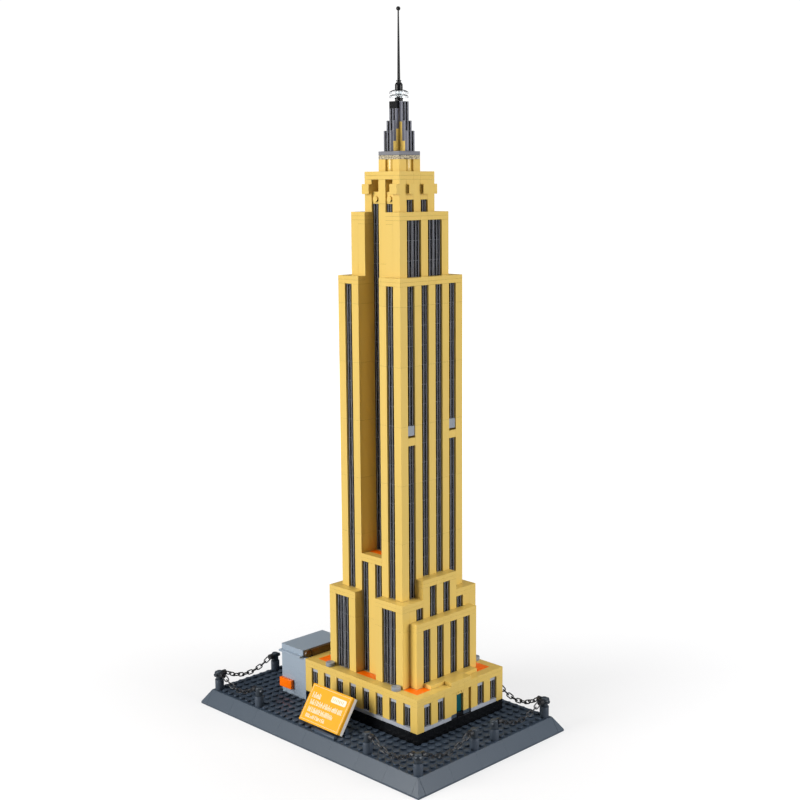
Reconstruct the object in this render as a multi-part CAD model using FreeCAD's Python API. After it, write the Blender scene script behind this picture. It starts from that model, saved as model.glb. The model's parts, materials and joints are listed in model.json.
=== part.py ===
"""Souvenir skyscraper of clip-together studded bricks, on a studded base with a chain fence.

Plan sizes are in studs and heights in plates, counted from the near left corner of the podium
and from the top of the studded deck. The part's own origin is the middle of the base, on the
ground; the entrance looks along -Y and the sign along -X.
"""
import FreeCAD, Part
import math
import os
from collections import namedtuple

V = FreeCAD.Vector
UP = V(0, 0, 1)

# ---- the building module, in mm ----
PITCH = 8.0             # stud to stud
PLATE = 3.2             # height of one plate
PLAY = 0.1              # gap left on each side of a brick
SEAM = 0.03             # gap left on top of a brick
STUD_R = 2.45
STUD_H = 1.7
RECESS = 1.6            # how far a window sits back in its wall
RIB = 1.5               # width of one of the three ribs of a grille tile
GROOVE = 1.6            # depth of the two grooves between them
ROUND_R = PITCH / 2 - PLAY  # round 1 x 1 bricks and tiles
FIT = 0.05              # radial clearance of a turning fit

# ---- lengths of the stock pieces ----
GRILLE_PLATES = 5       # a grille tile stood on end is five plates tall
TALL = 15               # the tallest wall brick, in plates
LONG = 4                # the longest cap tile, in studs
BACKING = 15            # the longest backing plate, in plates

# ---- base, in studs and mm ----
DECK_COL0, DECK_COL1 = -5, 15
DECK_ROW0, DECK_ROW1 = -5, 27
BORDER = 1              # width of the sloped border, in studs
DECK_PLATES = 4         # the deck plate stands on bricks: four plates above the ground in all
LIP = 1.6               # upright foot of the border
LEDGE = 0.6             # flat on top of the border
DECK_PANEL_COLS = 10
DECK_PANEL_ROWS = 16
RIB_COLS, RIB_ROWS = 3, 5   # bays between the ribs of bricks under the deck
SITE_MID_COL = (DECK_COL0 + DECK_COL1) / 2
SITE_MID_ROW = (DECK_ROW0 + DECK_ROW1) / 2
DECK_TOP = DECK_PLATES * PLATE

# ---- chain fence, in mm ----
POST_R = ROUND_R
POST_FOOT_H = 3 * PLATE # round brick at the foot of a post
POST_TOP_R = POST_R - 0.9
POST_TOP_H = 7.8        # slimmer upper part, which the pegs go through
POST_CROWN = 1.2        # rounding of the post's top edge
PEG_R = 1.6
PEG_Z = 14.4            # height of the pegs above the deck
PEG_KNOB = 2.0          # how far a peg stands out behind its post
SOCKET_GAP = 0.3        # between a post and a chain's end socket
SOCKET_L = 2.6
SOCKET_R = 2.5
SOCKET_CAP = 0.8
LINK_L = 7.6
LINK_W = 4.4
WIRE = 1.05
LINK_SINK = 0.6         # how far an end link is moulded into its socket's cap
LINK_SPARE = 0.1        # least slack between two links
SAG = 8.0

# ---- podium, in studs and plates ----
POD_COLS = 13
POD_ROWS = 17
PLINTH_TOP = 3
SILL_TOP = 4
POD_HEAD = 9            # top of the podium windows
POD_BAND = 10
POD_RIM = 11
POD_TOP = 12
MID_COL = POD_COLS / 2
MID_ROW = POD_ROWS / 2
PORTAL = (5, 8)         # columns of the entrance
DOOR_RECESS = 3.6       # mm
PORTAL_BACK = 5.8       # mm, face of the black panel behind the doorway
SLOT = 1.2              # mm, dark slot beside the right pillar
LAMP_R = 0.6            # two small holes over the door

# ---- tower: top of each stage, in plates ----
LOWER_TOP = 34
BAY_TOP = 29
STEP_TOP = 39
INFILL_TOP = 44
SHAFT_TOP = 116
UPPER_TOP = 132
CROWN_TOP = 142
CAP = 2                 # header course and cap tile over every wall
STEP_WINDOW = 27        # foot of the windows of the stepped block
STRIP_SPLIT = 74        # the outer window strips are broken here
STRIP_GAP = 0.5
STRIP_TILE = 2.5        # a sideways 1 x 1 tile, in plates
BLOCK_L0 = 136.4        # foot of the small blocks on the crown
BLOCK_T = 3.2           # mm, how far they stand proud
SIDE_STUD_Z = 3.7       # mm, height of the stud on the side of a crown brick
POCKET = (2.0, 6.4, 5.0)    # mm, hollow end of a front block: thickness, height, depth

# ---- spire, in plates above the deck, studs from the middle, mm ----
DRUM_TOP = 145
GREY_TOP = 147
SPIRE_TOP = 159.25
SIDE_TOP = 157.5        # top of the side arms' grilles, under the black end pieces
ARM = PLATE             # thickness of one layer of an arm, mm
TIP_STUD_R = 2.4
NECK_PIECE_R = TIP_STUD_R + 0.7     # black piece under the clear dishes
NECK_PIECE_H = 2.8
NECK_RING_R = TIP_STUD_R + 1.1      # ring round its top
NECK_RING_H = 0.8
DISH_R = 7.7
DISH_H = 3.15
DISH_RIM = 1.3          # height of the upright rim
DISH_SHELL = 0.7
DISH_NECK_R = TIP_STUD_R + 0.5
TIP_STUD_H = 1.2
MAST_H = 64.5
MAST_FOOT_R = TIP_STUD_R + 0.7
MAST_FOOT_H = 5.5
MAST_COLLAR_R = 2.05
MAST_R0, MAST_R1 = 1.2, 0.6
BALL_R = 1.7

# ---- sign, in mm ----
SIGN_W = 48.0
SIGN_H = 32.0
SIGN_TILE = 3.2
SIGN_PLATE = 3.2
SIGN_TILT = 56.0        # degrees from lying flat
SIGN_COL = -4.5         # studs: lower edge of its face
SIGN_ROW = 10.0         # studs: its middle
SIGN_LIFT = 0.4         # its lower back edge over the deck
HINGE_ROW = 8.5         # studs: middle of its hinge
HINGE_W = 24.0
HINGE_EAR = 2.0
HINGE_SIDE_GAP = 0.3
HINGE_R = 2.0
HINGE_PIN_R = 0.9
HINGE_U = 6.0           # pin: up the slope from the lower edge
HINGE_N = 2.6           # pin: behind the back of the sign
LEAF_T = 1.6
LEAF_U0, LEAF_U1 = 4.0, 14.0
HINGE_FOOT_T = 1.6
HINGE_FOOT_X0 = 3.2     # hinge foot starts this far in front of the pin

# ---- annex, in studs and plates ----
ANNEX_COLS = 6
ANNEX_ROW0, ANNEX_ROW1 = POD_ROWS, POD_ROWS + 4
ANNEX_COURSES = 8       # lower part of its walls: single plates
ANNEX_WALL = 12
ANNEX_TOP = 14
ANNEX_LEDGE = 3.6       # mm, how far the ledge stands out
ANNEX_LEDGE_T = 1.6     # mm
TRIM_T = 3.2            # mm, brown strip under the roof edge
BOX_ROWS = (19, 21)
BOX_L0 = 2


def x_at(col):
    return (col - SITE_MID_COL) * PITCH


def y_at(row):
    return (row - SITE_MID_ROW) * PITCH


def z_at(level):
    return DECK_TOP + level * PLATE


def save(node, solids):
    Part.makeCompound(solids).exportStep(f"parts/{node}.step")


# ---- bricks: a box is (col0, col1, row0, row1, level0, level1) ----

def brick(box, front=0.0):
    """One brick, with play at its sides; front moves its -Y face back by so many mm."""
    c0, c1, r0, r1, l0, l1 = box
    corner = V(x_at(c0) + PLAY, y_at(r0) + PLAY + front, z_at(l0))
    size_x = (c1 - c0) * PITCH - 2 * PLAY
    size_y = (r1 - r0) * PITCH - 2 * PLAY - front
    return Part.makeBox(size_x, size_y, (l1 - l0) * PLATE - SEAM, corner)


def bricks(boxes):
    return [brick(box) for box in boxes]


def pieces_of(first, last, longest):
    """A length cut into stock pieces: (start, end) of each."""
    cuts = []
    start = first
    while start < last - 1e-6:
        end = min(start + longest, last)
        cuts.append((start, end))
        start = end
    return cuts


def column(c0, c1, r0, r1, l0, l1):
    """A pier stacked from the tallest bricks that fit."""
    return [(c0, c1, r0, r1, a, b) for a, b in pieces_of(l0, l1, TALL)]


def even_lengths(studs):
    """Lengths of the pieces of a course, the same from both ends."""
    if studs <= LONG:
        return [studs]
    end = min(LONG, studs // 2)
    rest = studs - 2 * end
    return [end] + (even_lengths(rest) if rest > 0 else []) + [end]


def course(c0, c1, r0, r1, l0, l1):
    """A course laid along its longer side."""
    boxes = []
    start = 0
    for length in even_lengths(max(c1 - c0, r1 - r0)):
        end = start + length
        if c1 - c0 >= r1 - r0:
            boxes.append((c0 + start, c0 + end, r0, r1, l0, l1))
        else:
            boxes.append((c0, c1, r0 + start, r0 + end, l0, l1))
        start = end
    return boxes


def all_round(boxes):
    """The boxes with their mirror images across the tower's two middle planes, each once."""
    found = {}
    for c0, c1, r0, r1, l0, l1 in boxes:
        for a0, a1 in ((c0, c1), (2 * MID_COL - c1, 2 * MID_COL - c0)):
            for b0, b1 in ((r0, r1), (2 * MID_ROW - r1, 2 * MID_ROW - r0)):
                found[(a0, a1, b0, b1, l0, l1)] = True
    return list(found)


# ---- windows: grille tiles on end, clipped to sideways backing plates ----

FRONT, RIGHT, BACK, LEFT = 0, 90, 180, 270
INWARD = {FRONT: V(0, 1, 0), RIGHT: V(-1, 0, 0), BACK: V(0, -1, 0), LEFT: V(1, 0, 0)}
Window = namedtuple("Window", "facing lo hi plane foot tiles")


def wall_point(facing, along, plane, level):
    if facing in (FRONT, BACK):
        return V(x_at(along), y_at(plane), z_at(level))
    return V(x_at(plane), y_at(along), z_at(level))


def on_wall(shape, facing, along, plane, level, depth=0.0):
    """Puts a piece modelled against the plane y = 0, facing -Y, onto a wall of the tower."""
    placed = shape.copy()
    placed.rotate(V(0, 0, 0), UP, facing)
    placed.translate(wall_point(facing, along, plane, level) + INWARD[facing] * depth)
    return placed


def windows_all_round(windows):
    found = {}
    for w in windows:
        mid_along, mid_plane = (MID_COL, MID_ROW) if w.facing == FRONT else (MID_ROW, MID_COL)
        opposite = BACK if w.facing == FRONT else RIGHT
        for lo, hi in ((w.lo, w.hi), (2 * mid_along - w.hi, 2 * mid_along - w.lo)):
            found[Window(w.facing, lo, hi, w.plane, w.foot, w.tiles)] = True
            found[Window(opposite, lo, hi, 2 * mid_plane - w.plane, w.foot, w.tiles)] = True
    return list(found)


def grille_tile():
    """1 x 2 grille tile on end: three ribs with two grooves between them."""
    half = PITCH / 2 - PLAY
    outline = [(-half, 0), (-half + RIB, 0), (-half + RIB, GROOVE), (-RIB / 2, GROOVE), (-RIB / 2, 0),
               (RIB / 2, 0), (RIB / 2, GROOVE), (half - RIB, GROOVE), (half - RIB, 0), (half, 0),
               (half, PLATE - SEAM), (-half, PLATE - SEAM)]
    points = [V(x, y, 0) for x, y in outline]
    face = Part.Face(Part.makePolygon(points + points[:1]))
    return face.extrude(V(0, 0, GRILLE_PLATES * PLATE - SEAM))


GRILLE = grille_tile()


def grilles(windows):
    tiles = []
    for w in windows:
        for across in range(round(w.hi - w.lo)):
            for up in range(w.tiles):
                level = w.foot + up * GRILLE_PLATES
                tiles.append(on_wall(GRILLE, w.facing, w.lo + across + 0.5, w.plane, level, RECESS))
    return tiles


def backing(windows):
    """Plates on end behind the grilles, as deep as what the wall has left."""
    plates = []
    depth = PITCH - RECESS - PLATE - PLAY
    for w in windows:
        width = (w.hi - w.lo) * PITCH - 2 * PLAY
        for low, high in pieces_of(w.foot, w.foot + w.tiles * GRILLE_PLATES, BACKING):
            plate = Part.makeBox(width, depth, (high - low) * PLATE - SEAM, V(-width / 2, 0, 0))
            plates.append(on_wall(plate, w.facing, (w.lo + w.hi) / 2, w.plane, low, RECESS + PLATE))
    return plates


# ---- chain fence ----

Chain = namedtuple("Chain", "name start end")      # posts as (col, row)
EDGE0, EDGE1 = DECK_COL0 + 0.5, DECK_COL1 - 0.5
EDGE_ROW0, EDGE_ROW1 = DECK_ROW0 + 0.5, DECK_ROW1 - 0.5
GATE_COLS = (EDGE0 + 8, EDGE1 - 8)                  # posts on each side of the front gap
GATE_ROWS = (EDGE_ROW0 + 7, EDGE_ROW1 - 7)
CHAINS = [
    Chain("chain_front_left", (EDGE0, EDGE_ROW0), (GATE_COLS[0], EDGE_ROW0)),
    Chain("chain_front_right", (GATE_COLS[1], EDGE_ROW0), (EDGE1, EDGE_ROW0)),
    Chain("chain_back_left", (EDGE0, EDGE_ROW1), (GATE_COLS[0], EDGE_ROW1)),
    Chain("chain_back_right", (GATE_COLS[1], EDGE_ROW1), (EDGE1, EDGE_ROW1)),
    Chain("chain_left_front", (EDGE0, EDGE_ROW0), (EDGE0, GATE_ROWS[0])),
    Chain("chain_left_back", (EDGE0, GATE_ROWS[1]), (EDGE0, EDGE_ROW1)),
    Chain("chain_right_front", (EDGE1, EDGE_ROW0), (EDGE1, GATE_ROWS[0])),
    Chain("chain_right_back", (EDGE1, GATE_ROWS[1]), (EDGE1, EDGE_ROW1)),
]
PEG_REACH = POST_TOP_R + SOCKET_L       # ends just short of the bottom of the socket's cup
CAP_FACE = POST_TOP_R + SOCKET_GAP + SOCKET_L + SOCKET_CAP


def chain_ends(chain):
    """Both peg points, and the level direction from the first to the second."""
    start = V(x_at(chain.start[0]), y_at(chain.start[1]), DECK_TOP + PEG_Z)
    end = V(x_at(chain.end[0]), y_at(chain.end[1]), DECK_TOP + PEG_Z)
    return start, end, (end - start).normalize()


def posts():
    spots = {}
    for chain in CHAINS:
        start, end, way = chain_ends(chain)
        spots.setdefault(chain.start, []).append(way)
        spots.setdefault(chain.end, []).append(way * -1)
    return spots


def peg(spot, ways):
    """Peg through a post: it holds a chain's socket on one side and ends in a knob on the other."""
    centre = V(x_at(spot[0]), y_at(spot[1]), DECK_TOP + PEG_Z)
    bars = []
    for way in ways:
        tail = POST_TOP_R + PEG_KNOB
        bars.append(Part.makeCylinder(PEG_R, tail + PEG_REACH, centre - way * tail, way))
    solid = bars[0]
    for bar in bars[1:]:
        solid = solid.fuse(bar)
    return solid


def post(spot, pin):
    """Round brick with a slimmer piece on it, which has a rounded top edge."""
    foot = V(x_at(spot[0]), y_at(spot[1]), DECK_TOP)
    waist = foot + UP * POST_FOOT_H
    lower = Part.makeCylinder(POST_R, POST_FOOT_H - SEAM, foot)
    upper = Part.makeCylinder(POST_TOP_R, POST_TOP_H, waist)
    rim = [edge for edge in upper.Edges if abs(edge.BoundBox.ZMin - waist.z - POST_TOP_H) < 1e-3]
    upper = upper.makeFillet(POST_CROWN, rim)
    return [lower, upper.cut(pin)]


def link():
    """One chain link along X, flat in the XY plane, centred."""
    bend = (LINK_W - WIRE) / 2
    straight = LINK_L - LINK_W
    solid = None
    for side in (-1, 1):
        bar = Part.makeCylinder(WIRE / 2, straight, V(-straight / 2, side * bend, 0), V(1, 0, 0))
        wire_end = Part.Face(Part.Wire(Part.makeCircle(WIRE / 2, V(side * straight / 2, bend, 0), V(1, 0, 0))))
        turn = wire_end.revolve(V(side * straight / 2, 0, 0), V(0, 0, 1), -side * 180)
        piece = bar.fuse(turn)
        solid = piece if solid is None else solid.fuse(piece)
    return solid.removeSplitter()


LINK = link()


def hang(span):
    """Points of the hanging line: distance along, height under the pegs, by small steps."""
    steps = 400
    line = []
    for i in range(steps + 1):
        t = i / steps
        line.append((t * span, -4 * SAG * t * (1 - t)))
    return line


def chain_solids(chain):
    start, end, way = chain_ends(chain)
    span = (end - start).Length - 2 * CAP_FACE
    line = hang(span)
    lengths = [0.0]
    for (s0, h0), (s1, h1) in zip(line, line[1:]):
        lengths.append(lengths[-1] + math.hypot(s1 - s0, h1 - h0))
    first = LINK_L / 2 - LINK_SINK
    room = lengths[-1] - 2 * first
    count = math.ceil(room / (LINK_L - 2 * WIRE - LINK_SPARE)) + 1
    links = []
    for i in range(count):
        target = first + room * i / (count - 1)
        k = next(j for j in range(1, len(lengths)) if lengths[j] >= target or j == len(lengths) - 1)
        share = (target - lengths[k - 1]) / (lengths[k] - lengths[k - 1])
        s = line[k - 1][0] + share * (line[k][0] - line[k - 1][0])
        h = line[k - 1][1] + share * (line[k][1] - line[k - 1][1])
        slope = math.degrees(math.atan2(line[k][1] - line[k - 1][1], line[k][0] - line[k - 1][0]))
        piece = LINK.copy()
        piece.rotate(V(0, 0, 0), V(1, 0, 0), 45 if i % 2 else -45)
        piece.rotate(V(0, 0, 0), V(0, 1, 0), -slope)
        piece.rotate(V(0, 0, 0), UP, math.degrees(math.atan2(way.y, way.x)))
        piece.translate(start + way * (CAP_FACE + s) + UP * h)
        links.append(piece)
    links[0] = links[0].fuse(socket(start, way))
    links[-1] = links[-1].fuse(socket(end, way * -1))
    return links


def socket(peg_point, way):
    """Moulded end of a chain: a cup that turns on the end of its peg."""
    mouth = peg_point + way * (POST_TOP_R + SOCKET_GAP)
    cup = Part.makeCylinder(SOCKET_R, SOCKET_L + SOCKET_CAP, mouth, way)
    return cup.cut(Part.makeCylinder(PEG_R + FIT, SOCKET_L, mouth, way))


def fence():
    posts_and_pegs = [(spot, peg(spot, ways)) for spot, ways in posts().items()]
    save("chain_posts", [solid for spot, pin in posts_and_pegs for solid in post(spot, pin)])
    save("chain_pegs", [pin for spot, pin in posts_and_pegs])
    for chain in CHAINS:
        save(chain.name, chain_solids(chain))


# ---- base ----

def stud_free(col, row):
    """True where something stands on the deck, so that no stud shows."""
    if 0 <= col < POD_COLS and 0 <= row < POD_ROWS:
        return True
    if 0 <= col < ANNEX_COLS and ANNEX_ROW0 <= row < ANNEX_ROW1:
        return True
    if (col + 0.5, row + 0.5) in posts():
        return True
    half = SIGN_W / PITCH / 2
    under_sign = SIGN_ROW - half - 1 < row < SIGN_ROW + half
    under_foot = HINGE_ROW - HINGE_W / PITCH / 2 - 1 < row < HINGE_ROW + HINGE_W / PITCH / 2
    return (col == DECK_COL0 + 1 and under_sign) or (col in (DECK_COL0, DECK_COL0 + 2) and under_foot)


def deck_panel(c0, c1, r0, r1):
    panel = Part.makeBox((c1 - c0) * PITCH - 2 * PLAY, (r1 - r0) * PITCH - 2 * PLAY, PLATE,
                         V(x_at(c0) + PLAY, y_at(r0) + PLAY, z_at(-1)))
    studs = []
    for col in range(c0, c1):
        for row in range(r0, r1):
            if not stud_free(col, row):
                studs.append(Part.makeCylinder(STUD_R, STUD_H, V(x_at(col + 0.5), y_at(row + 0.5), DECK_TOP)))
    return panel.fuse(studs)


def border_profile(along):
    """Section of the sloped border, extruded by along studs; it runs along X, slope towards -Y."""
    run = BORDER * PITCH - PLAY
    points = [V(0, 0, 0), V(0, 0, LIP), V(0, run - LEDGE, DECK_TOP), V(0, run, DECK_TOP), V(0, run, 0)]
    face = Part.Face(Part.makePolygon(points + points[:1]))
    return face.extrude(V(along * PITCH - 2 * PLAY, 0, 0))


def border():
    sloped = []
    half_cols = (DECK_COL1 - DECK_COL0) / 2
    half_rows = (DECK_ROW1 - DECK_ROW0) / 2
    for turn, half_run, half_across in ((0, half_cols, half_rows), (90, half_rows, half_cols)):
        for start, end in pieces_of(-half_run, half_run, LONG):
            for flip in (0, 180):
                piece = border_profile(end - start)
                piece.translate(V(start * PITCH + PLAY, -(half_across + BORDER) * PITCH, 0))
                piece.rotate(V(0, 0, 0), UP, turn + flip)
                sloped.append(piece)
    corners = []
    for side_x, side_y in ((-1, -1), (1, -1), (1, 1), (-1, 1)):
        along_x = border_profile(BORDER)
        along_y = border_profile(BORDER)
        along_y.rotate(V(0, 0, 0), UP, -90)
        along_y.translate(V(0, BORDER * PITCH - PLAY, 0))
        corner = along_x.common(along_y)
        if side_x > 0:
            corner = corner.mirror(V(0, 0, 0), V(1, 0, 0))
        if side_y > 0:
            corner = corner.mirror(V(0, 0, 0), V(0, 1, 0))
        corner.translate(V(side_x * (half_cols + BORDER) * PITCH, side_y * (half_rows + BORDER) * PITCH, 0))
        corners.append(corner)
    return sloped, corners


def under_bricks():
    """Bricks that carry the deck: a ring under its edge, and ribs across."""
    rows = rib_places(DECK_ROW0, DECK_ROW1, RIB_ROWS)
    boxes = []
    for row in rows:
        for start, end in pieces_of(DECK_COL0, DECK_COL1, DECK_PANEL_COLS):
            boxes.append((start, end, row, row + 1, -DECK_PLATES, -1))
    for low, high in zip(rows, rows[1:]):
        for col in rib_places(DECK_COL0, DECK_COL1, RIB_COLS):
            boxes.append((col, col + 1, low + 1, high, -DECK_PLATES, -1))
    return bricks(boxes)


def rib_places(first, last, bays):
    """Where the ribs stand: one along each edge, the rest shared out evenly between them."""
    run = last - 1 - first
    return [first + round(run * i / bays) for i in range(bays + 1)]


def base():
    panels = []
    for c0, c1 in pieces_of(DECK_COL0, DECK_COL1, DECK_PANEL_COLS):
        for r0, r1 in pieces_of(DECK_ROW0, DECK_ROW1, DECK_PANEL_ROWS):
            panels.append(deck_panel(c0, c1, r0, r1))
    sloped, corners = border()
    save("base_deck", panels)
    save("base_border", sloped)
    save("base_corners", corners)
    save("base_bricks", under_bricks())


# ---- sign ----

def tilted(shape):
    """Puts a piece modelled lying flat (X up the slope, Z out of the face) onto the tilted sign."""
    thick = SIGN_TILE + SIGN_PLATE
    lift = SIGN_LIFT + thick * math.cos(math.radians(SIGN_TILT))
    placed = shape.copy()
    placed.rotate(V(0, 0, 0), V(0, 1, 0), -SIGN_TILT)
    placed.translate(V(x_at(SIGN_COL), y_at(SIGN_ROW), DECK_TOP + lift))
    return placed


def sign():
    thick = SIGN_TILE + SIGN_PLATE
    tile = Part.makeBox(SIGN_H, SIGN_W, SIGN_TILE, V(0, -SIGN_W / 2, -SIGN_TILE))
    plate = Part.makeBox(SIGN_H - 2 * PLAY, SIGN_W - 2 * PLAY, SIGN_PLATE - SEAM,
                         V(PLAY, -SIGN_W / 2 + PLAY, -thick))
    knuckle = HINGE_W - 2 * HINGE_EAR - 2 * HINGE_SIDE_GAP
    aside = (HINGE_ROW - SIGN_ROW) * PITCH
    leaf = Part.makeBox(LEAF_U1 - LEAF_U0, knuckle, LEAF_T,
                        V(LEAF_U0, aside - knuckle / 2, -thick - SEAM - LEAF_T))
    pin_line = V(HINGE_U, aside, -thick - HINGE_N)
    roll = Part.makeCylinder(HINGE_R, knuckle, pin_line - V(0, knuckle / 2, 0), V(0, 1, 0))
    bore = Part.makeCylinder(HINGE_PIN_R + FIT, knuckle, pin_line - V(0, knuckle / 2, 0), V(0, 1, 0))
    pin = Part.makeCylinder(HINGE_PIN_R, HINGE_W, pin_line - V(0, HINGE_W / 2, 0), V(0, 1, 0))
    save("sign_tile", [tilted(tile)])
    save("sign_plate", [tilted(plate)])
    save("sign_hinge_leaf", [tilted(leaf.fuse(roll).cut(bore))])
    save("sign_hinge_pin", [tilted(pin)])
    save("sign_hinge_base", hinge_base(tilted(pin).CenterOfMass))


def hinge_base(pin_middle):
    """Foot on the deck with two ears for the pin, and the stop in front of the sign."""
    low_y = pin_middle.y - HINGE_W / 2
    back = x_at(DECK_COL0 + 3) - PLAY
    front = pin_middle.x - HINGE_FOOT_X0
    solid = Part.makeBox(back - front, HINGE_W, HINGE_FOOT_T, V(front, low_y, DECK_TOP))
    for ear_y in (low_y, low_y + HINGE_W - HINGE_EAR):
        ear = Part.makeCylinder(HINGE_R, HINGE_EAR, V(pin_middle.x, ear_y, pin_middle.z), V(0, 1, 0))
        web = Part.makeBox(2 * HINGE_R, HINGE_EAR, pin_middle.z - DECK_TOP,
                           V(pin_middle.x - HINGE_R, ear_y, DECK_TOP))
        solid = solid.fuse([ear, web])
    bore = Part.makeCylinder(HINGE_PIN_R + PLAY / 10, HINGE_W, V(pin_middle.x, low_y, pin_middle.z), V(0, 1, 0))
    stop_x = x_at(DECK_COL0) + PLAY
    stop = Part.makeBox(PITCH / 2, HINGE_W, HINGE_FOOT_T / 2, V(stop_x, low_y, DECK_TOP))
    bead = Part.makeCylinder(HINGE_FOOT_T, HINGE_W, V(stop_x + HINGE_FOOT_T, low_y, DECK_TOP + HINGE_FOOT_T),
                             V(0, 1, 0))
    return [solid.cut(bore), stop.fuse(bead)]


# ---- podium ----

def podium():
    side_windows = [Window(LEFT, row, row + 1, 0, SILL_TOP, 1) for row in range(1, POD_ROWS - 1, 2)]
    side_windows += [w._replace(facing=RIGHT, plane=POD_COLS) for w in side_windows]
    front_windows = [Window(FRONT, col, col + 1, 0, SILL_TOP, 1) for col in (1, 3, 9, 11)]
    back_windows = [Window(BACK, col, col + 1, POD_ROWS, SILL_TOP, 1) for col in (7, 9, 11)]
    windows = side_windows + front_windows + back_windows

    piers = all_round([(0, 1, 0, 1, PLINTH_TOP, POD_BAND)])
    for row in range(2, POD_ROWS - 2, 2):
        piers += [(c, c + 1, row, row + 1, SILL_TOP, POD_BAND) for c in (0, POD_COLS - 1)]
    piers += [(c, c + 1, 0, 1, SILL_TOP, POD_BAND) for c in (2, 4, 8, 10)]
    piers += [(c, c + 1, POD_ROWS - 1, POD_ROWS, SILL_TOP, POD_BAND) for c in (6, 8, 10)]
    piers += [(1, 6, POD_ROWS - 1, POD_ROWS, SILL_TOP, POD_BAND)]
    piers += wall_ring(POD_BAND, POD_RIM)

    sills = course(1, PORTAL[0], 0, 1, PLINTH_TOP, SILL_TOP)
    sills += course(PORTAL[1], POD_COLS - 1, 0, 1, PLINTH_TOP, SILL_TOP)
    sills += course(1, POD_COLS - 1, POD_ROWS - 1, POD_ROWS, PLINTH_TOP, SILL_TOP)
    for c in (0, POD_COLS - 1):
        sills += course(c, c + 1, 1, POD_ROWS - 1, PLINTH_TOP, SILL_TOP)
    head = Part.makeBox(PITCH - 2 * PLAY, PITCH - RECESS - PLAY, (POD_BAND - POD_HEAD) * PLATE - SEAM,
                        V(-PITCH / 2 + PLAY, 0, 0))
    heads = [on_wall(head, w.facing, w.lo + 0.5, w.plane, POD_HEAD, RECESS) for w in windows]

    save("podium_piers", bricks(piers))
    save("podium_sills_and_heads", bricks(sills) + heads)
    save("podium_grilles", grilles(windows))
    save("podium_rim", bricks(rim_tiles()))
    save("podium_roof_tiles", bricks(orange_tiles()))
    save("podium_inner_bricks", bricks(podium_inside()) + backing(windows))
    discs = []
    for col in (0.5, POD_COLS - 0.5):
        for row in (3.5, POD_ROWS - 3.5):
            discs.append(Part.makeCylinder(ROUND_R, PLATE, V(x_at(col), y_at(row), z_at(POD_TOP))))
    save("rim_round_tiles", discs)
    entrance()


def wall_ring(l0, l1):
    """A course round the whole podium wall."""
    ring = []
    for row in (0, POD_ROWS - 1):
        ring += course(0, POD_COLS, row, row + 1, l0, l1)
    for col in (0, POD_COLS - 1):
        ring += course(col, col + 1, 1, POD_ROWS - 1, l0, l1)
    return ring


def rim_tiles():
    """Rim of the podium, with the raised strips and parapets over the two entrances."""
    tiles = wall_ring(POD_RIM, POD_TOP)
    strip = course(3, POD_COLS - 3, 1, 2, POD_RIM, POD_TOP) + course(3, POD_COLS - 3, 1, 2, POD_TOP, POD_TOP + 1)
    parapet = course(PORTAL[0], PORTAL[1], 0, 1, POD_TOP, POD_TOP + 1)
    return tiles + all_round(strip + parapet)


def orange_tiles():
    podium_roof = all_round([
        (1, 2, 1, 3, POD_RIM, POD_TOP),
        (2, 3, 1, 2, POD_RIM, POD_TOP),
        (1, 2, 7, 10, POD_RIM, POD_TOP),
    ])
    recess_roof = all_round([(3, 4, 7, 10, INFILL_TOP - 1, INFILL_TOP)])
    return podium_roof + recess_roof


def podium_inside():
    """Hidden walls that carry the rim and the tower, and the plates under the tower."""
    ring = [(1, MID_COL, 1, 2, 0, POD_RIM), (1, 2, 2, MID_ROW, 0, POD_RIM)]
    carriers = [(2, MID_COL, 3, 4, 0, POD_RIM), (3, MID_COL, 5, 6, 0, POD_RIM), (5, 6, 6, MID_ROW, 0, POD_RIM)]
    floor = [(1, 2, 3, 7, POD_RIM, POD_TOP), (2, MID_COL, 2, 5, POD_RIM, POD_TOP)]
    floor += [(2, MID_COL, 5, MID_ROW, POD_RIM, POD_TOP)]
    return all_round(ring + carriers + floor)


def entrance():
    left, right = PORTAL
    step = [(left, left + 1, 0, 1, PLINTH_TOP, SILL_TOP), (right - 1, right, 0, 1, PLINTH_TOP, SILL_TOP)]
    save("entrance_steps", [shallow(box, RECESS, PORTAL_BACK) for box in step])
    pillars = [shallow((left, left + 1, 0, 1, SILL_TOP, POD_BAND), RECESS, PORTAL_BACK)]
    for level in range(SILL_TOP, POD_BAND):
        box = (right - 1, right - SLOT / PITCH, 0, 1, level, level + 1)
        pillars.append(shallow(box, RECESS, PORTAL_BACK))
    save("entrance_pillars", pillars)
    head = shallow((left + 1, right - 1, 0, 1, POD_HEAD, POD_BAND), RECESS, PORTAL_BACK)
    for side in (-1, 1):
        spot = V(x_at((left + right) / 2 + side * 0.22), y_at(0), z_at(POD_HEAD + 0.5))
        head = head.cut(Part.makeCylinder(LAMP_R, RECESS + 1.0, spot, V(0, 1, 0)))
    save("entrance_head", [head])
    save("entrance_door", [shallow((left + 1, right - 1, 0, 1, SILL_TOP, POD_HEAD), DOOR_RECESS, PORTAL_BACK)])
    threshold = shallow((left + 1, right - 1, 0, 1, PLINTH_TOP, SILL_TOP), RECESS, PORTAL_BACK)
    panel = shallow((left, right, 0, 1, PLINTH_TOP, POD_BAND), PORTAL_BACK + SEAM, PITCH)
    save("plinth", bricks(wall_ring(0, PLINTH_TOP)) + [threshold, panel])


def shallow(box, front, back):
    """A brick of the front wall that reaches only from front to back, in mm behind the wall's face."""
    c0, c1, r0, r1, l0, l1 = box
    return Part.makeBox((c1 - c0) * PITCH - 2 * PLAY, back - front, (l1 - l0) * PLATE - SEAM,
                        V(x_at(c0) + PLAY, y_at(r0) + front, z_at(l0)))


# ---- tower ----

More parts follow.
